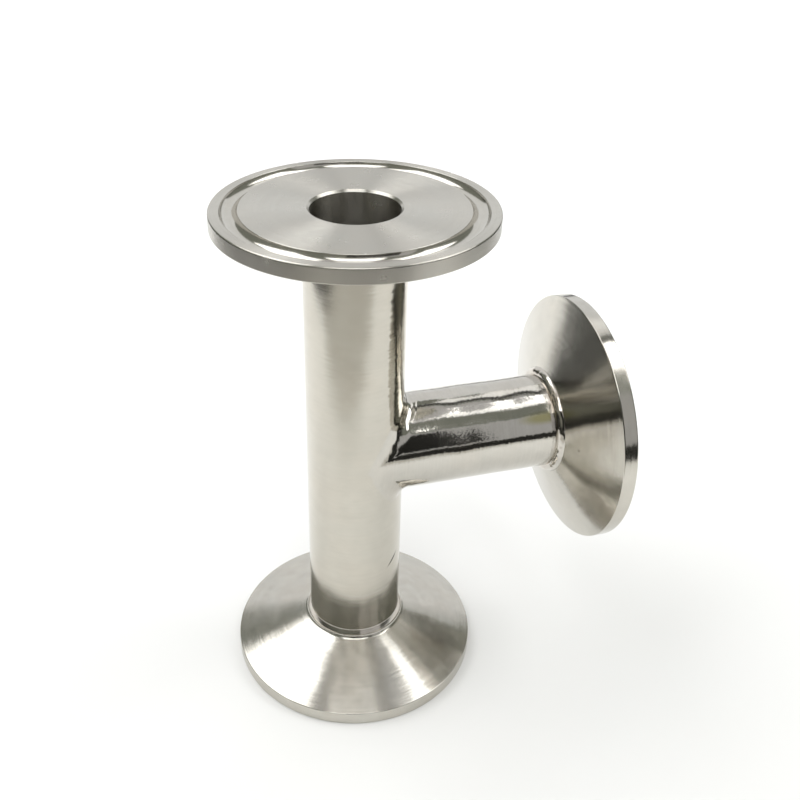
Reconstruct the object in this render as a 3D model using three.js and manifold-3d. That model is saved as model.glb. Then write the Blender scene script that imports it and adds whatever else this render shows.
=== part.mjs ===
// Clamp tee fitting: a straight run tube with a clamp ferrule on each end, and a side branch with a third ferrule.
// Every joint is a butt weld, so nothing moves. Units are millimetres.
// +Z runs up the run tube and +X runs out along the branch. The origin is the centre of the fitting's bounding box,
// which lies on the branch's axis, because the two run ferrules are alike.

import * as THREE from "three";
import { mergeVertices } from "three/addons/utils/BufferGeometryUtils.js";
import Module from "manifold-3d";

const wasm = await Module();
wasm.setup();

// Driving dimensions
const TUBE_OUTER_RADIUS = 9.5;
const TUBE_WALL = 1.5;
const FACE_TO_FACE = 101; // along the run, between the two sealing faces
const BRANCH_REACH = 48.2; // from the run axis to the branch's sealing face

const FERRULE_RADIUS = 25.25;
const RIM_THICKNESS = 2.85;
const CONE_SLOPE = THREE.MathUtils.degToRad(20); // back of the ferrule, against the sealing face
const RIM_FACE_CHAMFER = 0.3;
const RIM_BACK_CHAMFER = 0.15;
const BORE_CHAMFER = 0.4;
const GROOVE_CENTRE_RADIUS = 21.75;
const GROOVE_WIDTH = 3.1;
const GROOVE_DEPTH = 1.3;

const NECK_RADIUS = 10.1; // just behind the cone, where the ferrule's butt weld starts
const NECK_HEIGHT = 9; // from the sealing face to the ferrule's welded end
const NECK_FILLET = 0.9;
const BEAD_LENGTH = 1.1; // of a ferrule weld, along the tube

const JUNCTION_GAP = 1.2; // between the run tube and the branch's saddle-cut end, filled by weld
const JUNCTION_FILLET = 1.9; // radius of the outer fillet of the junction weld

// Worked-out dimensions
const BORE_RADIUS = TUBE_OUTER_RADIUS - TUBE_WALL;
const WELDED_END = NECK_HEIGHT + BEAD_LENGTH; // from a sealing face to the tube behind it
const RUN_HALF = FACE_TO_FACE / 2;
const RUN_AXIS_X = -(BRANCH_REACH - FERRULE_RADIUS) / 2;

// Facets
const ROUND_SEGMENTS = 64;
const GROOVE_STEPS = 6;
const FILLET_STEPS = 4;
const SADDLE_STEPS = 18;
const SADDLE_END_ANGLE = THREE.MathUtils.degToRad(80); // the junction fillet has tapered to a feather edge here

const STEEL = {
  satin: { color: 0xb9b6aa, roughness: 0.32, metalness: 1 },
  mirror: { color: 0xc4c3ba, roughness: 0.1, metalness: 1 },
  turned: { color: 0xb4b1a4, roughness: 0.26, metalness: 1 },
  weld: { color: 0xada897, roughness: 0.22, metalness: 1 },
};

// A point of a turned profile: distance from the axis, then height along it.
const point = (radius, height) => new THREE.Vector2(radius, height);

// Points on an arc from one angle to another, both ends included.
function arcPoints(centre, radius, fromAngle, toAngle, steps) {
  return Array.from({ length: steps + 1 }, (_, i) => {
    const angle = THREE.MathUtils.lerp(fromAngle, toAngle, i / steps);
    return point(centre.x + radius * Math.cos(angle), centre.y + radius * Math.sin(angle));
  });
}

// A solid of revolution about +Z from a closed profile.
function turned(profile) {
  const geometry = new THREE.LatheGeometry([...profile, profile[0]], ROUND_SEGMENTS);
  return geometry.rotateX(Math.PI / 2);
}

const ring = (innerRadius, outerRadius, bottom, top) =>
  turned([
    point(innerRadius, bottom),
    point(outerRadius, bottom),
    point(outerRadius, top),
    point(innerRadius, top),
  ]);

const rod = (radius, length) => new THREE.CylinderGeometry(radius, radius, length, ROUND_SEGMENTS);
const rodAlongZ = (radius, length) => rod(radius, length).rotateX(Math.PI / 2);
const rodAlongX = (radius, length) => rod(radius, length).rotateX(Math.PI / 2).rotateY(Math.PI / 2);

// Boolean work: geometry to solid and back.
function solid(geometry) {
  const bare = geometry.clone();
  bare.deleteAttribute("normal");
  bare.deleteAttribute("uv");
  const merged = mergeVertices(bare, 1e-4);
  const triangles = dropFlatTriangles(merged.index.array);
  return new wasm.Manifold(
    new wasm.Mesh({ numProp: 3, vertProperties: new Float32Array(merged.attributes.position.array), triVerts: triangles }),
  );
}

function dropFlatTriangles(index) {
  const kept = [];
  for (let i = 0; i < index.length; i += 3) {
    const [a, b, c] = index.slice(i, i + 3);
    if (a !== b && b !== c && c !== a) kept.push(a, b, c);
  }
  return new Uint32Array(kept);
}

function geometryOf(manifold) {
  const { vertProperties, triVerts } = manifold.getMesh();
  const geometry = new THREE.BufferGeometry();
  geometry.setAttribute("position", new THREE.BufferAttribute(new Float32Array(vertProperties), 3));
  geometry.setIndex(new THREE.BufferAttribute(new Uint32Array(triVerts), 1));
  return geometry;
}

// The profile of a clamp ferrule. The sealing face is at height 0 and the neck runs down to -NECK_HEIGHT.
function ferruleProfile() {
  const coneHeight = (radius) => -RIM_THICKNESS - (FERRULE_RADIUS - RIM_BACK_CHAMFER - radius) * Math.tan(CONE_SLOPE);
  return [
    point(BORE_RADIUS, -NECK_HEIGHT),
    point(NECK_RADIUS, -NECK_HEIGHT),
    ...neckFillet(coneHeight),
    point(FERRULE_RADIUS - RIM_BACK_CHAMFER, -RIM_THICKNESS),
    point(FERRULE_RADIUS, -RIM_THICKNESS + RIM_BACK_CHAMFER),
    point(FERRULE_RADIUS, -RIM_FACE_CHAMFER),
    point(FERRULE_RADIUS - RIM_FACE_CHAMFER, 0),
    ...gasketGroove(),
    point(BORE_RADIUS + BORE_CHAMFER, 0),
    point(BORE_RADIUS, -BORE_CHAMFER),
  ];
}

// The concave fillet between the neck and the cone, tangent to both.
function neckFillet(coneHeight) {
  const tangentLength = NECK_FILLET * Math.tan((Math.PI / 2 - CONE_SLOPE) / 2);
  const centre = point(NECK_RADIUS + NECK_FILLET, coneHeight(NECK_RADIUS) - tangentLength);
  return arcPoints(centre, NECK_FILLET, Math.PI, Math.PI / 2 + CONE_SLOPE, FILLET_STEPS);
}

// The round-bottomed gasket groove, from its outer edge to its inner edge.
function gasketGroove() {
  const half = GROOVE_WIDTH / 2;
  const radius = (half ** 2 + GROOVE_DEPTH ** 2) / (2 * GROOVE_DEPTH);
  const centre = point(GROOVE_CENTRE_RADIUS, radius - GROOVE_DEPTH);
  const outerAngle = Math.atan2(-centre.y, half);
  return arcPoints(centre, radius, outerAngle, -Math.PI - outerAngle, GROOVE_STEPS);
}

// The proud butt weld behind a ferrule, in the ferrule's own frame.
const ferruleWeldProfile = () => [
  point(BORE_RADIUS, -WELDED_END),
  point(TUBE_OUTER_RADIUS, -WELDED_END),
  point(TUBE_OUTER_RADIUS + 0.35, -WELDED_END + 0.15),
  point(NECK_RADIUS, -WELDED_END + 0.5),
  point(NECK_RADIUS, -NECK_HEIGHT),
  point(BORE_RADIUS, -NECK_HEIGHT),
];

// The run tube, with the branch's bore cut through one wall.
function runTube() {
  const length = FACE_TO_FACE - 2 * WELDED_END;
  const tube = solid(ring(BORE_RADIUS, TUBE_OUTER_RADIUS, -length / 2, length / 2));
  const sideHole = solid(rodAlongX(BORE_RADIUS, 2 * TUBE_OUTER_RADIUS).translate(TUBE_OUTER_RADIUS, 0, 0));
  return geometryOf(tube.subtract(sideHole));
}

// The branch tube before and after its end is saddle-cut to stand off the run tube.
const branchBlank = () =>
  solid(ring(BORE_RADIUS, TUBE_OUTER_RADIUS, 0, BRANCH_REACH - WELDED_END).rotateY(Math.PI / 2));
const saddleCutter = () => solid(rodAlongZ(TUBE_OUTER_RADIUS + JUNCTION_GAP, 4 * TUBE_OUTER_RADIUS));
const branchTube = () => branchBlank().subtract(saddleCutter());

// One crescent of the junction's outer fillet: side is +1 above the branch and -1 below it.
// A ball of the fillet's radius rolls along both tubes; each section is the arc between its two contacts.
function filletCrescent(side) {
  const sections = [];
  for (let i = 0; i <= SADDLE_STEPS; i += 1) {
    const angle = THREE.MathUtils.lerp(-SADDLE_END_ANGLE, SADDLE_END_ANGLE, i / SADDLE_STEPS);
    sections.push(filletSection(angle, side));
  }
  return loft(side > 0 ? sections : sections.reverse());
}

function filletSection(angle, side) {
  const cos = Math.cos(angle);
  const sin = Math.sin(angle);
  const ball = new THREE.Vector3(cos, sin, side * cos).multiplyScalar(TUBE_OUTER_RADIUS + JUNCTION_FILLET);
  const towardsRun = new THREE.Vector3(-cos, -sin, 0);
  const towardsBranch = new THREE.Vector3(0, -sin, -side * cos);
  const spread = towardsRun.angleTo(towardsBranch);
  const section = [];
  for (let i = 0; i <= FILLET_STEPS; i += 1) {
    const share = i / FILLET_STEPS;
    section.push(
      ball
        .clone()
        .addScaledVector(towardsRun, (JUNCTION_FILLET * Math.sin((1 - share) * spread)) / Math.sin(spread))
        .addScaledVector(towardsBranch, (JUNCTION_FILLET * Math.sin(share * spread)) / Math.sin(spread)),
    );
  }
  const root = TUBE_OUTER_RADIUS - TUBE_WALL / 2;
  section.push(new THREE.Vector3(root * cos, root * sin, side * root * cos));
  return section;
}

// A closed skin through sections that all have the same number of points.
function loft(sections) {
  const count = sections[0].length;
  const last = (sections.length - 1) * count;
  const index = [];
  for (let s = 0; s < sections.length - 1; s += 1) {
    for (let i = 0; i < count; i += 1) {
      const a = s * count + i;
      const b = s * count + ((i + 1) % count);
      index.push(a, b, a + count, b, b + count, a + count);
    }
  }
  for (let i = 1; i < count - 1; i += 1) {
    index.push(0, i + 1, i, last, last + i, last + i + 1);
  }
  const geometry = new THREE.BufferGeometry().setFromPoints(sections.flat());
  geometry.setIndex(index);
  return geometry;
}

// The weld that joins the branch to the run: the root between the two tubes, and the outer fillet on both sides.
function junctionWeld() {
  const root = branchBlank().intersect(saddleCutter());
  const nearSide = solid(rodAlongX(3 * TUBE_OUTER_RADIUS, 4 * TUBE_OUTER_RADIUS).translate(2 * TUBE_OUTER_RADIUS, 0, 0));
  return root
    .add(solid(filletCrescent(1)))
    .add(solid(filletCrescent(-1)))
    .subtract(solid(rodAlongZ(TUBE_OUTER_RADIUS, 4 * TUBE_OUTER_RADIUS)))
    .subtract(branchTube())
    .subtract(solid(rodAlongX(BORE_RADIUS, 4 * TUBE_OUTER_RADIUS)))
    .intersect(nearSide);
}

function named(name, geometry, finish) {
  const mesh = new THREE.Mesh(geometry, new THREE.MeshStandardMaterial(STEEL[finish]));
  mesh.name = name;
  return mesh;
}

// A ferrule and the weld behind it, in a frame whose +Z points out of the sealing face.
function clampEnd(where) {
  const end = new THREE.Group();
  end.add(named(`${where}_ferrule`, turned(ferruleProfile()), "turned"));
  end.add(named(`${where}_ferrule_weld`, turned(ferruleWeldProfile()), "weld"));
  return end;
}

// The whole fitting. Inside this group the two tube axes cross at the origin.
function tee() {
  const fitting = new THREE.Group();
  fitting.add(named("run_tube", runTube(), "satin"));
  fitting.add(named("branch_tube", geometryOf(branchTube()), "mirror"));
  fitting.add(named("junction_weld", geometryOf(junctionWeld()), "weld"));

  const top = clampEnd("top");
  top.position.z = RUN_HALF;
  const bottom = clampEnd("bottom");
  bottom.position.z = -RUN_HALF;
  bottom.rotation.x = Math.PI;
  const branch = clampEnd("branch");
  branch.position.x = BRANCH_REACH;
  branch.rotation.y = Math.PI / 2;
  fitting.add(top, bottom, branch);
  fitting.position.x = RUN_AXIS_X;
  return new THREE.Group().add(fitting);
}

export default tee();
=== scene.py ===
"""Looks for the clamp tee: finely turned ferrules, polished tubes and lumpy welds, in a small white studio.

Every length is in metres, in the CAD frame: the run tube stands along Z and the branch runs out along +X.
"""

import math
from dataclasses import dataclass

import bmesh
import bpy
import numpy as np
from mathutils import Matrix, Vector, noise


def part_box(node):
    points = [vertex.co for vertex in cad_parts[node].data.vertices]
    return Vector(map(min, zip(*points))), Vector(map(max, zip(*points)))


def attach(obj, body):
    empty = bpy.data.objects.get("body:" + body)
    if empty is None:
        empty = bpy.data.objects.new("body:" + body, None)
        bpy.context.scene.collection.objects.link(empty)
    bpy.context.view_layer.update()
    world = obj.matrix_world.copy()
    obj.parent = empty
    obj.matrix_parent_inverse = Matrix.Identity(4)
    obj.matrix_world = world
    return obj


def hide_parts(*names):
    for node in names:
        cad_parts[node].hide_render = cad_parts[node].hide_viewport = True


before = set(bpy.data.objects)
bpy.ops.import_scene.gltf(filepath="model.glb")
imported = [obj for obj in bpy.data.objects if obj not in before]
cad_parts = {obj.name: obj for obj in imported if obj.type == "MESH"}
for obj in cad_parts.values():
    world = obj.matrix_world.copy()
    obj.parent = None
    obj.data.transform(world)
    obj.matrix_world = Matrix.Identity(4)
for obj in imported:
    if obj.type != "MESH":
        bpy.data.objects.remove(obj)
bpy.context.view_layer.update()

MM = 0.001
QUARTER = math.pi / 2

# Sizes and places read from the CAD frame
run_low, run_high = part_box("run_tube")
RUN_X = (run_low.x + run_high.x) / 2
TUBE_RADIUS = run_high.y
TUBE_HALF_LENGTH = run_high.z
FACE_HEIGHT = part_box("top_ferrule")[1].z
NECK_HEIGHT = FACE_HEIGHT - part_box("top_ferrule")[0].z
FERRULE_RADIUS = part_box("top_ferrule")[1].y
NECK_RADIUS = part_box("top_ferrule_weld")[1].y
BRANCH_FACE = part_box("branch_ferrule")[1].x
BRANCH_TUBE_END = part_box("branch_tube")[1].x - RUN_X
FLOOR_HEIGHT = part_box("bottom_ferrule")[0].z
TUBE_SETBACK = FACE_HEIGHT - TUBE_HALF_LENGTH  # from a sealing face back to the end of its tube

# Fine sizes of the same pieces
BORE_RADIUS = TUBE_RADIUS - 1.5 * MM
RIM_THICKNESS = 2.85 * MM
CONE_SLOPE = math.radians(20)
HALF_CORNER = (QUARTER - CONE_SLOPE) / 2  # half the turn between a ferrule's neck and its tapered back
NECK_FILLET = 0.9 * MM
BACK_EDGE_ROUND = 0.22 * MM
FACE_EDGE_ROUND = 0.3 * MM
GROOVE_CENTRE = 21.75 * MM
GROOVE_HALF_WIDTH = 1.55 * MM
GROOVE_DEPTH = 1.3 * MM
GROOVE_EDGE_ROUND = 0.12 * MM
BORE_CHAMFER = 0.42 * MM
JUNCTION_GAP = 1.2 * MM
JUNCTION_FILLET = 1.9 * MM
SIDE_BLEND = 8.5 * MM  # the junction fillet's radius at its sides
BLEND_START = 0.55  # where the fillet starts to grow, as the sine of the angle from a crotch
WELD_SHOULDER = 0.8 * MM  # how far the junction weld runs on over the branch tube

# Small unevenness left by hand
TUBE_SLOW_WAVE = 0.10 * MM
TUBE_QUICK_WAVE = 0.012 * MM
JUNCTION_LUMPS = 0.05 * MM
JUNCTION_CREST = 0.05 * MM
JUNCTION_BUMP = 0.03 * MM
CROTCH_WIDTH = 0.42  # how far the top crotch's crest and bump reach, as the same sine

ROUND_STEPS = 320
EDGE_SUPPORT = 0.03 * MM  # a loop this far from each end of a straight stretch keeps its shading flat
SHARP_ANGLE = math.radians(34)
MERGE_DISTANCE = 1e-7


# ---------------------------------------------------------------- meshes

def make_piece(name, shape, place, node, material):
    """A closed, smooth mesh that rides on the frame and stands for one CAD node. shape is (verts, faces)."""
    verts, faces = shape
    mesh = bpy.data.meshes.new(name)
    mesh.from_pydata([tuple(v) for v in verts], [], faces)
    shell = bmesh.new()
    shell.from_mesh(mesh)
    bmesh.ops.remove_doubles(shell, verts=shell.verts, dist=MERGE_DISTANCE)
    bmesh.ops.recalc_face_normals(shell, faces=shell.faces)
    shell.to_mesh(mesh)
    shell.free()
    mesh.shade_smooth()
    mesh.set_sharp_from_angle(angle=SHARP_ANGLE)
    mesh.materials.append(material)
    piece = bpy.data.objects.new(name, mesh)
    bpy.context.scene.collection.objects.link(piece)
    piece.matrix_world = place
    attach(piece, "root")
    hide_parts(node)


def grid_faces(rows, columns, first=0, close_rows=True):
    """Quads of a grid whose columns wrap round, and its rows too unless close_rows is false.

    Vertex (row, column) is number first + row * columns + column.
    """
    faces = []
    for row in range(rows if close_rows else rows - 1):
        for column in range(columns):
            above = first + (row + 1) % rows * columns
            here = first + row * columns
            beside = (column + 1) % columns
            faces.append((here + column, here + beside, above + beside, above + column))
    return faces


def ring_angles(steps):
    """Evenly spaced angles once round."""
    return np.arange(steps) * 2 * math.pi / steps


def revolve(profile):
    """A closed profile of (distance from axis, height) turned about Z."""
    angles = ring_angles(ROUND_STEPS)
    rows = [
        np.stack([r * np.cos(angles), r * np.sin(angles), np.full(ROUND_STEPS, z)], -1)
        for r, z in profile
    ]
    return np.concatenate(rows), grid_faces(len(profile), ROUND_STEPS)


def lumps(points, size, seed):
    """Smooth noise between about -1 and 1 at each point, with lumps of the given size."""
    shift = Vector((seed * 7.3, seed * 3.1, seed * 5.7))
    return np.array([noise.noise(Vector(p) / size + shift) for p in points])


def bell(value, centre, width):
    """A smooth bump of height 1 at centre."""
    return np.exp(-(((value - centre) / width) ** 2))


def end_place(where):
    """The frame of one clamp end: +Z points out of its sealing face."""
    if where == "top":
        return Matrix.Translation((RUN_X, 0, FACE_HEIGHT))
    if where == "bottom":
        return Matrix.Translation((RUN_X, 0, -FACE_HEIGHT)) @ Matrix.Rotation(math.pi, 4, "X")
    return Matrix.Translation((BRANCH_FACE, 0, 0)) @ Matrix.Rotation(QUARTER, 4, "Y")


RUN_PLACE = Matrix.Translation((RUN_X, 0, 0))
BRANCH_PLACE = RUN_PLACE @ Matrix.Rotation(QUARTER, 4, "Y")  # local Z runs out along the branch


# ---------------------------------------------------------------- ferrules

def on_circle(centre, radius, angle):
    """A point on a circle, in (distance from axis, height along axis)."""
    return centre[0] + radius * math.cos(angle), centre[1] + radius * math.sin(angle)


def arc(centre, radius, start, end, steps):
    """Points on an arc, with both ends included."""
    return [on_circle(centre, radius, angle) for angle in np.linspace(start, end, steps + 1)]


def straight(start, end):
    """Inner points of a straight stretch, the first and last of them close to its ends."""
    steps = 6
    a = np.array(start)
    b = np.array(end)
    near = min(EDGE_SUPPORT / np.linalg.norm(b - a), 0.25)
    shares = [near, *np.linspace(0, 1, steps + 1)[1:-1], 1 - near]
    return [tuple(a + (b - a) * share) for share in shares]


def chain(*stretches):
    """Joins arcs with straight stretches into one closed profile."""
    points = []
    for this, following in zip(stretches, stretches[1:] + stretches[:1]):
        points += this
        points += straight(this[-1], following[0])
    return points


def cone_height(radius):
    """The height of a ferrule's tapered back at this distance from its axis."""
    return -RIM_THICKNESS - (FERRULE_RADIUS - radius) * math.tan(CONE_SLOPE)


def neck_centre():
    """The centre of the fillet between a ferrule's neck and its tapered back."""
    return NECK_RADIUS + NECK_FILLET, cone_height(NECK_RADIUS) - NECK_FILLET * math.tan(HALF_CORNER)


def groove_arcs():
    """The round-bottomed gasket groove with both of its edges slightly rounded, from the rim inwards."""
    radius = (GROOVE_HALF_WIDTH**2 + GROOVE_DEPTH**2) / (2 * GROOVE_DEPTH)
    centre_height = radius - GROOVE_DEPTH
    edge = GROOVE_EDGE_ROUND
    reach = math.sqrt((radius + edge) ** 2 - (centre_height + edge) ** 2)
    lean = math.atan2(reach, centre_height + edge)
    return [
        arc((GROOVE_CENTRE + reach, -edge), edge, QUARTER, QUARTER + lean, 6),
        arc((GROOVE_CENTRE, centre_height), radius, -QUARTER + lean, -QUARTER - lean, 22)[1:-1],
        arc((GROOVE_CENTRE - reach, -edge), edge, QUARTER - lean, QUARTER, 6),
    ]


def ferrule_profile():
    """A clamp ferrule: sealing face at height 0, tapered back and neck below it."""
    back = (FERRULE_RADIUS - BACK_EDGE_ROUND, -RIM_THICKNESS + BACK_EDGE_ROUND * math.tan(HALF_CORNER))
    face = (FERRULE_RADIUS - FACE_EDGE_ROUND, -FACE_EDGE_ROUND)
    return chain(
        [(BORE_RADIUS, -NECK_HEIGHT)],
        [(NECK_RADIUS, -NECK_HEIGHT)],
        arc(neck_centre(), NECK_FILLET, math.pi, QUARTER + CONE_SLOPE, 10),
        arc(back, BACK_EDGE_ROUND, -QUARTER + CONE_SLOPE, 0, 6),
        arc(face, FACE_EDGE_ROUND, 0, QUARTER, 6),
        *groove_arcs(),
        [(BORE_RADIUS + BORE_CHAMFER, 0)],
        [(BORE_RADIUS, -BORE_CHAMFER)],
    )


def ferrule_weld_mesh(tube_toe, cone_toe, proud, unevenness, seed):
    """A ring of weld between a tube and its ferrule.

    The toes are the (distance from axis, height) where it ends. It stands proud of the line between them.
    """
    hump_steps = 20
    angles = ring_angles(ROUND_STEPS)
    around = np.stack([np.cos(angles), np.sin(angles), 0 * angles], -1)
    coarse_ripple = lumps(around * 4, 1.0, seed)
    fine_ripple = lumps(around * 11, 1.0, seed + 1)
    ripple = coarse_ripple + 0.5 * fine_ripple
    drift = lumps(around * 1.5, 1.0, seed + 2)

    def level(radius, height):
        """A plain ring."""
        return np.full(ROUND_STEPS, radius), np.full(ROUND_STEPS, height)

    rows = [level(BORE_RADIUS, -TUBE_SETBACK), level(TUBE_RADIUS, -TUBE_SETBACK)]
    toe = np.array(tube_toe)
    span = np.array(cone_toe) - toe
    outward = np.array([span[1], -span[0]]) / np.linalg.norm(span)
    for share in np.linspace(0, 1, hump_steps + 1):
        swell = math.sin(math.pi * share) ** 0.7
        rise = swell * (proud + unevenness * ripple)
        slide = (1 - share) * unevenness * drift
        r = toe[0] + span[0] * share + outward[0] * rise
        z = toe[1] + span[1] * share + outward[1] * rise + slide
        rows.append((r, z))
    rows.append(level(BORE_RADIUS, -NECK_HEIGHT))
    verts = [np.stack([r * around[:, 0], r * around[:, 1], z], -1) for r, z in rows]
    return np.concatenate(verts), grid_faces(len(rows), ROUND_STEPS)


def beaded_weld_mesh():
    """The branch ferrule's weld: a raised, uneven bead."""
    tube_toe = (TUBE_RADIUS, -9.3 * MM)
    cone_radius = 10.95 * MM
    cone_toe = (cone_radius, cone_height(cone_radius))
    return ferrule_weld_mesh(tube_toe, cone_toe, proud=0.36 * MM, unevenness=0.12 * MM, seed=21)


def dressed_weld_mesh():
    """The run's two ferrule welds: ground nearly flush, and blended into the neck's fillet."""
    tube_toe = (TUBE_RADIUS, -9.9 * MM)
    cone_toe = on_circle(neck_centre(), NECK_FILLET, math.pi - math.radians(30))
    return ferrule_weld_mesh(tube_toe, cone_toe, proud=0.02 * MM, unevenness=0.004 * MM, seed=31)


# ---------------------------------------------------------------- tubes

def run_tube_mesh():
    """The run tube, with the branch's bore cut through one side.

    Each wall is two half grids that meet at height 0, except where they part round the hole.
    """
    hole_steps = 120
    plain_steps = 220
    along_steps = 12
    hole = np.linspace(math.pi, 0, hole_steps + 1)
    hole_y = BORE_RADIUS * np.cos(hole)
    verts = []
    faces = []
    count = 0
    edges = {}
    for radius in (TUBE_RADIUS, BORE_RADIUS):
        side = math.asin(min(1.0, BORE_RADIUS / radius))
        plain = np.linspace(side, 2 * math.pi - side, plain_steps + 1)[1:-1]
        angles = np.concatenate([np.arcsin(np.clip(hole_y / radius, -1, 1)), plain])
        gap = np.concatenate([BORE_RADIUS * np.sin(hole), 0 * plain])
        columns = len(angles)
        for way in (1, -1):
            edges[radius, way] = count
            for share in np.linspace(0, 1, along_steps + 1):
                z = way * (gap + (TUBE_HALF_LENGTH - gap) * share)
                verts.append(np.stack([radius * np.cos(angles), radius * np.sin(angles), z], -1))
            faces += grid_faces(along_steps + 1, columns, count, close_rows=False)
            count += columns * (along_steps + 1)
    for way in (1, -1):
        outer = edges[TUBE_RADIUS, way]
        inner = edges[BORE_RADIUS, way]
        last = columns * along_steps
        for c in range(columns):
            d = (c + 1) % columns
            faces.append((outer + last + c, outer + last + d, inner + last + d, inner + last + c))
        for c in range(hole_steps):
            faces.append((outer + c, outer + c + 1, inner + c + 1, inner + c))
    return np.concatenate(verts), faces


def fillet_radius(angles):
    """The junction's fillet is tight at the crotches and grows into a wide blend at the sides."""
    side = np.clip((np.abs(np.sin(angles)) - BLEND_START) / (1 - BLEND_START), 0, 1)
    return JUNCTION_FILLET + (SIDE_BLEND - JUNCTION_FILLET) * side**2 * (3 - 2 * side)


def saddle_reach(angles, radius):
    """How far out a branch wall of this radius meets a cylinder one gap outside the run tube."""
    return np.sqrt((TUBE_RADIUS + JUNCTION_GAP) ** 2 - (radius * np.sin(angles)) ** 2)


def weld_reach(angles):
    """How far out along the branch its tube starts, for each angle round the branch."""
    fillet = (TUBE_RADIUS + fillet_radius(angles)) * np.abs(np.cos(angles)) + WELD_SHOULDER
    return np.maximum(fillet, saddle_reach(angles, TUBE_RADIUS))


def branch_point(along, radius, angles):
    """Points round the branch in the branch's own frame; angle 0 is the top."""
    return np.stack([-radius * np.cos(angles), radius * np.sin(angles), along + 0 * angles], -1)


def polished_wave(along, angles):
    """How far the hand-polished outside of the branch tube stands out from a true cylinder."""
    points = branch_point(along, TUBE_RADIUS, angles)
    slow = lumps(points * np.array([1, 1, 1.3]), 9 * MM, 3)
    quick = lumps(points, 3.5 * MM, 4)
    return TUBE_SLOW_WAVE * slow + TUBE_QUICK_WAVE * quick


def branch_tube_mesh():
    """The branch tube: a wavy outside, a plain bore, and a saddle-shaped end at the run tube."""
    along_steps = 130
    settle = 2 * MM  # the waves fade out over this length before the ferrule weld
    angles = ring_angles(ROUND_STEPS)
    start = weld_reach(angles)
    rows = []
    for share in np.linspace(0, 1, along_steps + 1):
        along = start + (BRANCH_TUBE_END - start) * share
        fade = np.clip((BRANCH_TUBE_END - along) / settle, 0, 1)
        rows.append(branch_point(along, TUBE_RADIUS + polished_wave(along, angles) * fade, angles))
    rows.append(branch_point(BRANCH_TUBE_END, BORE_RADIUS, angles))
    rows.append(branch_point(saddle_reach(angles, BORE_RADIUS), BORE_RADIUS, angles))
    return np.concatenate(rows), grid_faces(len(rows), ROUND_STEPS)


# ---------------------------------------------------------------- junction weld

def top_crotch(angles):
    """1 at the top crotch, fading to 0 round the branch."""
    return bell(np.abs(np.sin(angles)), 0.0, CROTCH_WIDTH) * (np.cos(angles) > 0)


def turn_towards(start, end, share):
    """Turns unit vectors from start towards end, by a share of the angle between them."""
    angle = np.arccos(np.clip(np.sum(start * end, -1), -1, 1))[:, None]
    angle = np.where(angle < 1e-3, 1e-3, angle)
    return (np.sin((1 - share) * angle) * start + np.sin(share * angle) * end) / np.sin(angle)


def junction_fillet(angles):
    """Rows of the fillet, from the run tube over to the branch tube."""
    steps = 22
    s = np.sin(angles)
    up = np.cos(angles)
    c = np.abs(up)
    fillet = fillet_radius(angles)
    spine = TUBE_RADIUS + fillet
    from_run = np.stack([-c, -s, 0 * c], -1)
    from_branch = np.stack([0 * c, -s, -up], -1)
    rows = []
    for share in np.linspace(0, 1, steps + 1):
        direction = turn_towards(from_run, from_branch, share)
        base = spine[:, None] * np.stack([c, s, up], -1) + fillet[:, None] * direction
        uneven = lumps(base, 2.6 * MM, 11) * JUNCTION_LUMPS
        crest = JUNCTION_CREST * bell(share, 0.25, 0.18)
        swell = (uneven * np.sqrt(c) + crest * top_crotch(angles)) * math.sin(math.pi * share) ** 0.5
        rows.append(base - direction * swell[:, None])
    return rows


def junction_shoulder(angles):
    """Rows that run on over the branch tube, from the fillet to where the tube starts."""
    steps = 12
    contact = (TUBE_RADIUS + fillet_radius(angles)) * np.abs(np.cos(angles))
    reach = weld_reach(angles)
    rows = []
    for share in np.linspace(0, 1, steps + 1)[1:]:
        along = contact + (reach - contact) * share
        bump = JUNCTION_BUMP * math.sin(math.pi * share) * top_crotch(angles)
        radius = TUBE_RADIUS + bump + polished_wave(along, angles) * share
        rows.append(np.stack([along, radius * np.sin(angles), radius * np.cos(angles)], -1))
    return rows


def junction_seat(angles):
    """Rows inside the joint: the root at the bore, then the seat on the run tube out to the fillet."""
    steps = 6
    s = np.sin(angles)
    up = np.cos(angles)
    rows = [np.stack([saddle_reach(angles, BORE_RADIUS), BORE_RADIUS * s, BORE_RADIUS * up], -1)]
    edge_angle = np.arcsin(BORE_RADIUS * s / TUBE_RADIUS)
    seat_angle = np.arctan2(s, np.abs(up))
    spine = TUBE_RADIUS + fillet_radius(angles)
    for share in np.linspace(0, 1, steps + 1)[:-1]:
        turn = edge_angle + (seat_angle - edge_angle) * share
        height = (BORE_RADIUS + (spine - BORE_RADIUS) * share) * up
        rows.append(np.stack([TUBE_RADIUS * np.cos(turn), TUBE_RADIUS * np.sin(turn), height], -1))
    return rows


def junction_weld_mesh():
    """The weld where the branch meets the run: a fillet between equal tubes, polished smooth at its sides."""
    steps = 480
    angles = ring_angles(steps)
    rows = junction_fillet(angles) + junction_shoulder(angles) + junction_seat(angles)
    points = np.concatenate(rows)
    in_branch_frame = np.stack([-points[:, 2], points[:, 1], points[:, 0]], -1)
    return in_branch_frame, grid_faces(len(rows), steps)


# ---------------------------------------------------------------- shader nodes

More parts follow.
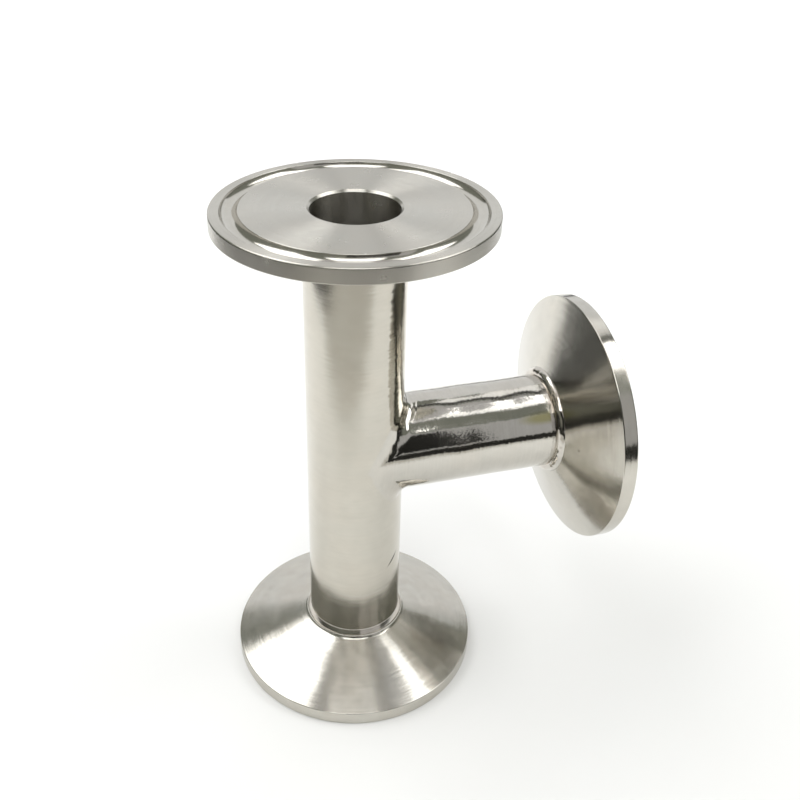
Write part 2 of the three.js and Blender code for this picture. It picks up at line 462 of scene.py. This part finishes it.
class Shader:
    """Adds nodes to one node tree. Inputs may be numbers, tuples or the outputs of other nodes."""

    def __init__(self, tree):
        self.tree = tree
        tree.nodes.clear()

    def node(self, kind, inputs=None, **settings):
        made = self.tree.nodes.new(kind)
        for key, value in settings.items():
            setattr(made, key, value)
        for key, value in (inputs or {}).items():
            self.feed(made.inputs[key], value)
        return made

    def feed(self, socket, value):
        if isinstance(value, bpy.types.NodeSocket):
            self.tree.links.new(value, socket)
        elif socket.type == "RGBA" and len(value) == 3:
            socket.default_value = (*value, 1)
        else:
            socket.default_value = value

    def math(self, operation, a, b=0.0, c=0.0):
        return self.node("ShaderNodeMath", {0: a, 1: b, 2: c}, operation=operation).outputs[0]

    def vector(self, operation, a, b=(0, 0, 0), scale=1.0):
        inputs = {0: a, 3: scale} if operation == "SCALE" else {0: a, 1: b}
        made = self.node("ShaderNodeVectorMath", inputs, operation=operation)
        return made.outputs["Value" if operation in ("DOT_PRODUCT", "LENGTH") else "Vector"]

    def combine(self, x, y, z):
        return self.node("ShaderNodeCombineXYZ", {0: x, 1: y, 2: z}).outputs[0]

    def separate(self, vector):
        return self.node("ShaderNodeSeparateXYZ", {0: vector}).outputs[:3]

    def ramp(self, value, low, high, start=0.0, end=1.0):
        """start below low, end above high, smooth between them."""
        inputs = {"Value": value, "From Min": low, "From Max": high, "To Min": start, "To Max": end}
        made = self.node("ShaderNodeMapRange", inputs, interpolation_type="SMOOTHSTEP", clamp=True)
        return made.outputs["Result"]

    def mix(self, share, a, b):
        """Colour a where share is 0, colour b where it is 1."""
        made = self.node("ShaderNodeMix", data_type="RGBA")
        for index, value in ((0, share), (6, a), (7, b)):
            self.feed(made.inputs[index], value)
        return made.outputs[2]

    def noise(self, vector, scale, detail, w):
        """Noise between 0 and 1. w is a fourth coordinate, which also serves as a seed."""
        inputs = {"Vector": vector, "Scale": scale, "Detail": detail, "W": w}
        made = self.node("ShaderNodeTexNoise", inputs, noise_dimensions="4D", normalize=True)
        return made.outputs["Fac"]

    def swing(self, vector, scale, detail, w):
        """The same noise, centred on 0."""
        return self.math("SUBTRACT", self.noise(vector, scale, detail, w), 0.5)

    def weighted(self, *terms):
        """The sum of value times weight over all (value, weight)."""
        products = [self.math("MULTIPLY", value, weight) for value, weight in terms]
        total = products[0]
        for product in products[1:]:
            total = self.math("ADD", total, product)
        return total

    def around(self, value, centre):
        """The distance of value from centre."""
        return self.math("ABSOLUTE", self.math("SUBTRACT", value, centre))

    def band(self, value, low, high, soft):
        """1 between low and high, 0 outside, with soft edges."""
        inside = self.math("SUBTRACT", (high - low) / 2, self.around(value, (high + low) / 2))
        return self.ramp(inside, -soft / 2, soft / 2)


def new_material(name):
    """An empty node material and the shader that fills it."""
    material = bpy.data.materials.new(name)
    material.use_nodes = True
    return material, Shader(material.node_tree)


# ---------------------------------------------------------------- steel

# How many cells of each noise fit in a millimetre
RIPPLE_ALONG_SCALE = 0.22
RIPPLE_ROUND_SCALE = 0.19
SPECK_SCALE = 4.2
PATCH_SCALE = 0.11
SMUDGE_SCALE = 0.45

FACETS_ROUND = 5.0  # cells of slow tipping for each radian round the axis
HAIR_PITCH = 0.45  # the spacing of the deepest lines, as a share of the other lines' spacing
HAIR_TURNS = 9.0  # how much shorter the deepest lines are than the others
WARM_SHIFT = (1.05, 0.98, 0.93)
COOL_SHIFT = (0.97, 1.01, 1.04)

PALE_STEEL = (0.60, 0.585, 0.535)
DARK_MARK = (0.02, 0.018, 0.015)
HEAT_TINT = (0.46, 0.43, 0.24)


@dataclass
class Mark:
    """A scratch, pit or heat tint. Lengths are in millimetres and angles in radians, in the piece's frame."""

    angle: float  # its place round the axis
    height: float  # its place along the axis
    radius: float  # its distance from the axis
    half_length: float  # measured round the axis
    half_width: float  # measured along the profile
    colour: tuple
    lean: float = 0.0  # how much it climbs for each millimetre round the axis


@dataclass
class Finish:
    """How a piece with fine lines round its Z axis is finished."""

    colour: tuple
    blur_along: float  # how much a reflection is blurred along the profile, across the lines
    blur_round: float  # how much it is blurred round the axis, along the lines
    pitch: float  # spacing of the lines in millimetres
    tilt: float  # how much the lines tip the surface along the profile
    comb: float  # how much they tip it round the axis
    ripple: float  # slow tipping of the surface
    stain: float  # how strongly the colour drifts
    grain: float = 0.0  # tipping in fine specks
    hairs: float = 0.0  # how dark the deepest lines are
    marks: tuple = ()
    ring: tuple = None  # (radius, half width) in millimetres of a smoother band, such as a groove


class TurnedSurface:
    """Where a shaded point is on a piece turned about its object's Z axis, in millimetres.

    round_axis points round the axis and meridian along the profile, both in the surface.
    """

    def __init__(self, shader):
        self.normal = shader.node("ShaderNodeNewGeometry").outputs["Normal"]
        place = shader.node("ShaderNodeTexCoord").outputs["Object"]
        self.place = shader.vector("SCALE", place, scale=1 / MM)
        self.x, self.y, self.z = shader.separate(self.place)
        self.radius = shader.vector("LENGTH", shader.combine(self.x, self.y, 0.0))
        self.cos_angle = shader.math("DIVIDE", self.x, self.radius)
        self.sin_angle = shader.math("DIVIDE", self.y, self.radius)
        round_local = shader.vector("NORMALIZE", shader.vector("CROSS_PRODUCT", (0, 0, 1), self.place))
        self.round_axis = shader.node(
            "ShaderNodeVectorTransform",
            {0: round_local},
            vector_type="VECTOR",
            convert_from="OBJECT",
            convert_to="WORLD",
        ).outputs[0]
        across = shader.vector("CROSS_PRODUCT", self.normal, self.round_axis)
        self.meridian = shader.vector("NORMALIZE", across)


def fine_lines(shader, at, pitch, turn):
    """Noise that is quick along the profile and slow round the axis."""
    radius = shader.math("DIVIDE", at.radius, pitch)
    height = shader.math("DIVIDE", at.z, pitch)
    return shader.swing(shader.combine(radius, height, at.cos_angle), scale=1.0, detail=2.0, w=turn)


def deep_lines(shader, at, pitch):
    """1 in a few lines that are finer and shorter than the others, 0 elsewhere."""
    hair_at = shader.combine(
        shader.math("DIVIDE", at.radius, pitch * HAIR_PITCH),
        shader.math("DIVIDE", at.z, pitch * HAIR_PITCH),
        shader.math("MULTIPLY", at.cos_angle, HAIR_TURNS),
    )
    turn = shader.math("MULTIPLY", at.sin_angle, HAIR_TURNS)
    hair = shader.noise(hair_at, scale=1.0, detail=1.0, w=turn)
    return shader.ramp(hair, 0.62, 0.78)


def tipped_normal(shader, at, finish, lines):
    """The surface normal, tipped by the lines, slow ripples and fine specks."""
    teeth_turn = shader.math("ADD", shader.math("MULTIPLY", at.sin_angle, 2.0), 5.0)
    teeth = fine_lines(shader, at, finish.pitch, teeth_turn)
    facets_at = shader.vector("SCALE", shader.combine(at.cos_angle, at.sin_angle, 0.0), scale=FACETS_ROUND)
    facets = shader.swing(facets_at, scale=1.0, detail=2.0, w=2.0)
    slow_along = shader.swing(at.place, RIPPLE_ALONG_SCALE, detail=1.0, w=3.0)
    slow_round = shader.swing(at.place, RIPPLE_ROUND_SCALE, detail=1.0, w=8.0)
    specks_along = shader.swing(at.place, SPECK_SCALE, detail=1.0, w=11.0)
    specks_round = shader.swing(at.place, SPECK_SCALE, detail=1.0, w=14.0)
    ripple_round = shader.math("ADD", slow_round, facets)

    tip_along = shader.weighted(
        (lines, finish.tilt), (slow_along, finish.ripple), (specks_along, finish.grain)
    )
    tip_round = shader.weighted(
        (ripple_round, finish.ripple), (teeth, finish.comb), (specks_round, finish.grain)
    )
    tipped = shader.vector("ADD", at.normal, shader.vector("SCALE", at.meridian, scale=tip_along))
    tipped = shader.vector("ADD", tipped, shader.vector("SCALE", at.round_axis, scale=tip_round))
    return shader.vector("NORMALIZE", tipped)


def add_mark(shader, at, tone, mark):
    """Paints one mark over the colour."""
    angle = shader.math("ARCTAN2", at.y, at.x)
    turned = shader.math("MULTIPLY", shader.math("SUBTRACT", angle, mark.angle), mark.radius)
    raised = shader.math("SUBTRACT", at.z, shader.math("MULTIPLY", turned, mark.lean))
    off_height = shader.around(raised, mark.height)
    off_radius = shader.around(at.radius, mark.radius)
    beside = shader.math("DIVIDE", shader.math("ADD", off_height, off_radius), mark.half_width)
    over = shader.math("DIVIDE", turned, mark.half_length)
    far = shader.vector("LENGTH", shader.combine(over, beside, 0.0))
    return shader.mix(shader.ramp(far, 0.2, 1.0, 1.0, 0.0), tone, mark.colour)


def stained_colour(shader, at, finish, lines, hairs, smudges):
    """Slow drift between a warm and a cool steel, darker in the deeper lines and in the marks."""
    warm = tuple(value * shift for value, shift in zip(finish.colour, WARM_SHIFT))
    cool = tuple(value * shift for value, shift in zip(finish.colour, COOL_SHIFT))
    patches = shader.swing(at.place, PATCH_SCALE, detail=3.0, w=5.0)
    tone = shader.mix(shader.math("MULTIPLY_ADD", patches, finish.stain * 4, 0.5), cool, warm)
    wear = shader.weighted((smudges, finish.stain * 1.6), (lines, 0.12))
    tone = shader.vector("SCALE", tone, scale=shader.math("ADD", wear, 1.0))
    dark = tuple(value * 0.8 for value in finish.colour)
    tone = shader.mix(shader.math("MULTIPLY", hairs, finish.hairs), tone, dark)
    for mark in finish.marks:
        tone = add_mark(shader, at, tone, mark)
    return tone


def uneven_roughness(shader, at, finish, hairs, smudges):
    """The mean roughness, varied by smudges and the deepest lines, and halved in the ring."""
    roughness = math.sqrt(math.sqrt(finish.blur_along * finish.blur_round))
    varied = shader.math("ADD", shader.math("MULTIPLY", smudges, 0.35), 1.0)
    rough = shader.weighted((varied, roughness), (hairs, finish.hairs * 0.1))
    if finish.ring:
        radius, half_width = finish.ring
        edge = 0.1
        off = shader.around(at.radius, radius)
        share = shader.ramp(off, half_width - edge, half_width + edge, 0.5, 1.0)
        rough = shader.math("MULTIPLY", rough, share)
    return rough


def steel(name, finish):
    """Steel with fine lines round its object's Z axis, which blur reflections most across the lines."""
    material, shader = new_material(name)
    at = TurnedSurface(shader)
    lines = fine_lines(shader, at, finish.pitch, at.sin_angle)
    hairs = deep_lines(shader, at, finish.pitch)
    smudges = shader.swing(at.place, SMUDGE_SCALE, detail=4.0, w=1.0)
    full_stretch = 0.9  # an anisotropy of 1 makes the blur round the axis smaller by this share
    principled = shader.node(
        "ShaderNodeBsdfPrincipled",
        {
            "Base Color": stained_colour(shader, at, finish, lines, hairs, smudges),
            "Metallic": 1.0,
            "Roughness": uneven_roughness(shader, at, finish, hairs, smudges),
            "Anisotropic": min(1.0, (1 - finish.blur_round / finish.blur_along) / full_stretch),
            "Tangent": at.meridian,
            "Normal": tipped_normal(shader, at, finish, lines),
        },
    )
    shader.node("ShaderNodeOutputMaterial", {"Surface": principled.outputs[0]})
    return material


def top_ferrule_steel():
    """Finely faced steel with strong turning lines and a smoother groove."""
    groove = (GROOVE_CENTRE / MM, GROOVE_HALF_WIDTH / MM)
    finish = Finish(
        colour=PALE_STEEL,
        blur_along=0.30,
        blur_round=0.015,
        pitch=0.22,
        tilt=0.025,
        comb=0.025,
        ripple=0.004,
        stain=0.10,
        ring=groove,
    )
    return steel("turned_top_ferrule_steel", finish)


def bottom_ferrule_steel():
    """Turned steel, stained from handling."""
    finish = Finish(
        colour=PALE_STEEL,
        blur_along=0.10,
        blur_round=0.01,
        pitch=0.22,
        tilt=0.05,
        comb=0.05,
        ripple=0.05,
        stain=0.16,
        grain=0.03,
    )
    return steel("turned_bottom_ferrule_steel", finish)


def branch_ferrule_steel():
    """Turned steel, shinier than the others, with one small pit."""
    pit = Mark(angle=-1.676, height=-6.76, radius=14.5, half_length=0.3, half_width=0.4, colour=DARK_MARK)
    finish = Finish(
        colour=PALE_STEEL,
        blur_along=0.06,
        blur_round=0.012,
        pitch=0.25,
        tilt=0.05,
        comb=0.05,
        ripple=0.04,
        stain=0.14,
        grain=0.02,
        marks=(pit,),
    )
    return steel("turned_branch_ferrule_steel", finish)


def run_tube_steel():
    """Satin polished steel with a scratch near the foot."""
    scratch = Mark(
        angle=-0.86,
        height=-24.4,
        radius=TUBE_RADIUS / MM,
        half_length=2.2,
        half_width=0.5,
        colour=DARK_MARK,
        lean=0.7,
    )
    finish = Finish(
        colour=(0.60, 0.58, 0.52),
        blur_along=0.03,
        blur_round=0.012,
        pitch=0.3,
        tilt=0.03,
        comb=0.16,
        ripple=0.05,
        stain=0.10,
        grain=0.01,
        hairs=0.15,
        marks=(scratch,),
    )
    return steel("satin_tube_steel", finish)


def branch_tube_steel():
    """Mirror polished steel, with the straw tint that welding left near the ferrule."""
    tint = Mark(
        angle=-2.22,
        height=36.5,
        radius=TUBE_RADIUS / MM,
        half_length=1.7,
        half_width=6.5,
        colour=HEAT_TINT,
    )
    finish = Finish(
        colour=(0.60, 0.585, 0.54),
        blur_along=0.012,
        blur_round=0.006,
        pitch=0.35,
        tilt=0.012,
        comb=0.07,
        ripple=0.015,
        stain=0.12,
        grain=0.09,
        hairs=0.3,
        marks=(tint,),
    )
    return steel("mirror_tube_steel", finish)


def weld_steel():
    """Brushed weld metal."""
    finish = Finish(
        colour=(0.62, 0.59, 0.54),
        blur_along=0.03,
        blur_round=0.012,
        pitch=0.5,
        tilt=0.05,
        comb=0.05,
        ripple=0.10,
        stain=0.30,
        grain=0.05,
    )
    return steel("weld_steel", finish)


# ---------------------------------------------------------------- camera

CAMERA_AZIMUTH = math.radians(-16.075)
CAMERA_ELEVATION = math.radians(30.125)
CAMERA_ROLL = math.radians(1.026)
CAMERA_DISTANCE = 179.5 * MM
CAMERA_LENS = 43.16
CAMERA_SENSOR = 36
CAMERA_SHIFT_X = 0.02375  # the aim point is off the picture's centre by these shares of its width
CAMERA_SHIFT_Y = -0.05625
NEAREST_SEEN = 1 * MM
FARTHEST_SEEN = 50
AIM_RIGHT = 4.846 * MM
AIM_UP = 21.026 * MM

VIEW_RIGHT = Vector((math.cos(CAMERA_AZIMUTH), math.sin(CAMERA_AZIMUTH), 0))
VIEW_AHEAD = Vector((-math.sin(CAMERA_AZIMUTH), math.cos(CAMERA_AZIMUTH), 0))


def add_camera():
    """A camera above the part, which sees the top face and the backs of the other two ferrules."""
    camera = bpy.data.objects.new("camera", bpy.data.cameras.new("camera"))
    bpy.context.scene.collection.objects.link(camera)
    up_axis = Vector((0, 0, 1))
    back = -VIEW_AHEAD * math.cos(CAMERA_ELEVATION) + up_axis * math.sin(CAMERA_ELEVATION)
    turn = Matrix((VIEW_RIGHT, back.cross(VIEW_RIGHT), back)).transposed().to_4x4()
    target = Vector((RUN_X, 0, 0)) + VIEW_RIGHT * AIM_RIGHT + up_axis * AIM_UP
    place = Matrix.Translation(target + back * CAMERA_DISTANCE)
    camera.matrix_world = place @ turn @ Matrix.Rotation(CAMERA_ROLL, 4, "Z")
    camera.data.sensor_width = CAMERA_SENSOR
    camera.data.lens = CAMERA_LENS
    camera.data.shift_x = CAMERA_SHIFT_X
    camera.data.shift_y = CAMERA_SHIFT_Y
    camera.data.clip_start = NEAREST_SEEN
    camera.data.clip_end = FARTHEST_SEEN
    bpy.context.scene.camera = camera


# ---------------------------------------------------------------- studio

# Bearings are measured from the camera's own direction, with right positive. Both they and elevations
# are in degrees, as (low, high).
BACKDROP = (0.88, 0.89, 0.90)
BACKDROP_BEARINGS = (-36.0, 37.0)
BACKDROP_SOFTNESS = 3.0
BACKDROP_TOP = (47.0, 50.0)
ROOM = (0.22, 0.23, 0.20)
ROOM_LOW = (0.04, 0.04, 0.035)
ROOM_RISE = (2.0, 14.0)  # the elevations where the low, dark part of the room gives way to the rest
FLOOR_BOOST = 1.4  # how much brighter the studio is for the floor than for the steel
LAMP_SOFTNESS = 2.5
# Each lamp is its bearings, its elevations and its brightness; a later one covers an earlier one
LAMPS = (
    ((-180, 180), (66, 91), 0.55),
    ((120, 168), (-1, 42), 0.50),
    ((-118, -46), (39, 73), 2.9),
    ((-48, -19), (46, 62), 2.5),
    ((57, 104), (33, 68.5), 3.2),
    ((100, 118), (62, 69), 1.7),
    ((15, 46), (44, 59), 1.25),
    ((143, 181), (46, 72), 3.0),
    ((-181, -148), (46, 72), 3.0),
    ((-180, 180), (81, 91), 1.25),
    ((4, 60), (59.5, 64), 0.03),
)

# The floor paper: its shades, which are painted light and painted shade, and the distances in metres between
# which each gives way to the next
# painted light: the paper is painted dimmer at the front right and brighter towards the back left, where more
# light falls
PAPER_PAINTED_DIM_NEAR = (0.81, 0.81, 0.80)
PAPER_PAINTED_LIT_FAR = (0.92, 0.92, 0.92)
PAINTED_LIGHT_SPAN = (-0.04, 0.10)
# painted shade: reflections see the paper darker in front, towards the camera
PAPER_PAINTED_SHADE = (0.50, 0.49, 0.46)
PAINTED_SHADE_SPAN = (-0.14, -0.085)
# painted shade: the camera sees the paper dimmer far away
PAPER_PAINTED_DISTANT_SHADE = (0.78, 0.78, 0.79)
PAINTED_DISTANT_SHADE_SPAN = (0.2, 0.9)
FLOOR_HALF_SIZE = 4.0

CARD_COLOUR = (0.02, 0.02, 0.018)
TABLE_HEIGHT = FLOOR_HEIGHT + 0.2 * MM  # just above the paper, which it hides
TABLE_REACH = 3.0


def paint_studio():
    """A white backdrop ahead, soft lamps at both sides, overhead and behind the camera, and a dim room."""
    world = bpy.data.worlds.new("studio")
    world.use_nodes = True
    bpy.context.scene.world = world
    shader = Shader(world.node_tree)
    direction = shader.node("ShaderNodeTexCoord").outputs["Generated"]
    height = shader.separate(direction)[2]
    right = shader.vector("DOT_PRODUCT", direction, tuple(VIEW_RIGHT))
    ahead = shader.vector("DOT_PRODUCT", direction, tuple(VIEW_AHEAD))
    degrees = 180 / math.pi
    bearing = shader.math("MULTIPLY", shader.math("ARCTAN2", right, ahead), degrees)
    elevation = shader.math("MULTIPLY", shader.math("ARCSINE", height), degrees)

    wide = shader.band(bearing, *BACKDROP_BEARINGS, BACKDROP_SOFTNESS)
    low = shader.ramp(elevation, *BACKDROP_TOP, 1.0, 0.0)
    colour = shader.mix(shader.ramp(elevation, *ROOM_RISE), ROOM_LOW, ROOM)
    colour = shader.mix(shader.math("MULTIPLY", wide, low), colour, BACKDROP)
    for bearings, elevations, brightness in LAMPS:
        sides = shader.band(bearing, *bearings, LAMP_SOFTNESS)
        ends = shader.band(elevation, *elevations, LAMP_SOFTNESS)
        lit = shader.math("MULTIPLY", sides, ends)
        colour = shader.mix(lit, colour, (brightness, brightness, brightness))

    light_path = shader.node("ShaderNodeLightPath")
    colour = shader.mix(light_path.outputs["Is Camera Ray"], colour, (1.0, 1.0, 1.0))
    strength = shader.math("MULTIPLY_ADD", light_path.outputs["Is Diffuse Ray"], FLOOR_BOOST - 1.0, 1.0)
    background = shader.node("ShaderNodeBackground", {"Color": colour, "Strength": strength})
    shader.node("ShaderNodeOutputWorld", {"Surface": background.outputs[0]})


def flat_sheet(name, corners, material):
    """One flat staged sheet, given by its corners."""
    mesh = bpy.data.meshes.new(name)
    mesh.from_pydata([tuple(c) for c in corners], [], [tuple(range(len(corners)))])
    mesh.materials.append(material)
    sheet = bpy.data.objects.new(name, mesh)
    bpy.context.scene.collection.objects.link(sheet)
    return sheet


def make_matt(shader, colour):
    """Ends a stage material: matt, in this colour."""
    inputs = {"Base Color": colour, "Roughness": 0.9, "Specular IOR Level": 0.0}
    principled = shader.node("ShaderNodeBsdfPrincipled", inputs)
    shader.node("ShaderNodeOutputMaterial", {"Surface": principled.outputs[0]})


def floor_material():
    """Matt white paper, with painted light: painted brightest at the back left.

    Painted shade: the camera sees it dim far away, and reflections instead show it darker near the camera.
    """
    material, shader = new_material("floor_paper_painted_light_and_shade")
    place = shader.node("ShaderNodeTexCoord").outputs["Object"]
    away = shader.vector("DOT_PRODUCT", place, tuple(VIEW_AHEAD - 0.6 * VIEW_RIGHT))
    # painted light: the paper grows brighter towards the back left
    colour = shader.mix(shader.ramp(away, *PAINTED_LIGHT_SPAN), PAPER_PAINTED_DIM_NEAR, PAPER_PAINTED_LIT_FAR)
    ahead = shader.vector("DOT_PRODUCT", place, tuple(VIEW_AHEAD + 0.3 * VIEW_RIGHT))
    # painted shade: reflections find the paper darker in front, near the camera
    shaded = shader.mix(shader.ramp(ahead, *PAINTED_SHADE_SPAN), PAPER_PAINTED_SHADE, colour)
    # painted shade: what the camera sees of the paper dims far away
    seen = shader.mix(shader.ramp(ahead, *PAINTED_DISTANT_SHADE_SPAN), colour, PAPER_PAINTED_DISTANT_SHADE)
    light_path = shader.node("ShaderNodeLightPath")
    make_matt(shader, shader.mix(light_path.outputs["Is Camera Ray"], shaded, seen))
    return material


def add_floor():
    """A wide pale floor under the bottom ferrule."""
    sides = ((-1, -1), (1, -1), (1, 1), (-1, 1))
    corners = [(x * FLOOR_HALF_SIZE, y * FLOOR_HALF_SIZE, FLOOR_HEIGHT) for x, y in sides]
    flat_sheet("floor", corners, floor_material())


def dark_card(name, corners):
    """A dark card seen only in reflections."""
    material, shader = new_material(name)
    make_matt(shader, CARD_COLOUR)
    card = flat_sheet(name, corners, material)
    card.visible_camera = False
    card.visible_diffuse = False
    card.visible_shadow = False


def camera_card():
    """The dark camera and its holder, in front of the part. Measured from where the tubes' axes cross."""
    depth = 150 * MM
    left = -60 * MM
    right = 71 * MM
    bottom = 8 * MM
    top = 130 * MM
    places = ((left, bottom), (right, bottom), (right, top), (left, top))
    dark_card("camera_card", [(RUN_X + x, -depth, z) for x, z in places])


def table_cards():
    """The white floor paper is small: a darker table shows round it in reflections."""
    front = -230 * MM
    left = -190 * MM
    right = 250 * MM
    back = 300 * MM
    for name, low_x, high_x, low_y, high_y in (
        ("table_front", -TABLE_REACH, TABLE_REACH, -TABLE_REACH, front),
        ("table_left", -TABLE_REACH, left, front, back),
        ("table_back_left", -TABLE_REACH, 1.6 * left, back, TABLE_REACH),
        ("table_right", right, TABLE_REACH, front, TABLE_REACH),
    ):
        places = ((low_x, low_y), (high_x, low_y), (high_x, high_y), (low_x, high_y))
        dark_card(name, [(x, y, TABLE_HEIGHT) for x, y in places])


# ---------------------------------------------------------------- the part

def add_clamp_end(where, finish, weld_mesh, weld_finish):
    """A ferrule and the weld that holds it to its tube."""
    ferrule = where + "_ferrule"
    weld = ferrule + "_weld"
    place = end_place(where)
    shape = revolve(ferrule_profile())
    make_piece("turned_" + ferrule, shape, place, ferrule, finish)
    make_piece("beaded_" + weld, weld_mesh(), place, weld, weld_finish)


def add_tubes():
    """Both tubes and the weld where they meet, which is polished like the branch tube."""
    mirror = branch_tube_steel()
    make_piece(
        "polished_run_tube", run_tube_mesh(), RUN_PLACE, "run_tube", run_tube_steel()
    )
    make_piece(
        "polished_branch_tube", branch_tube_mesh(), BRANCH_PLACE, "branch_tube", mirror
    )
    make_piece(
        "blended_junction_weld", junction_weld_mesh(), BRANCH_PLACE, "junction_weld", mirror
    )


def add_part():
    """The whole welded tee."""
    welded = weld_steel()
    add_clamp_end("top", top_ferrule_steel(), dressed_weld_mesh, welded)
    add_clamp_end("bottom", bottom_ferrule_steel(), dressed_weld_mesh, welded)
    add_clamp_end("branch", branch_ferrule_steel(), beaded_weld_mesh, welded)
    add_tubes()


add_part()
add_floor()
camera_card()
table_cards()
paint_studio()
add_camera()
bpy.context.scene.view_settings.view_transform = "Standard"
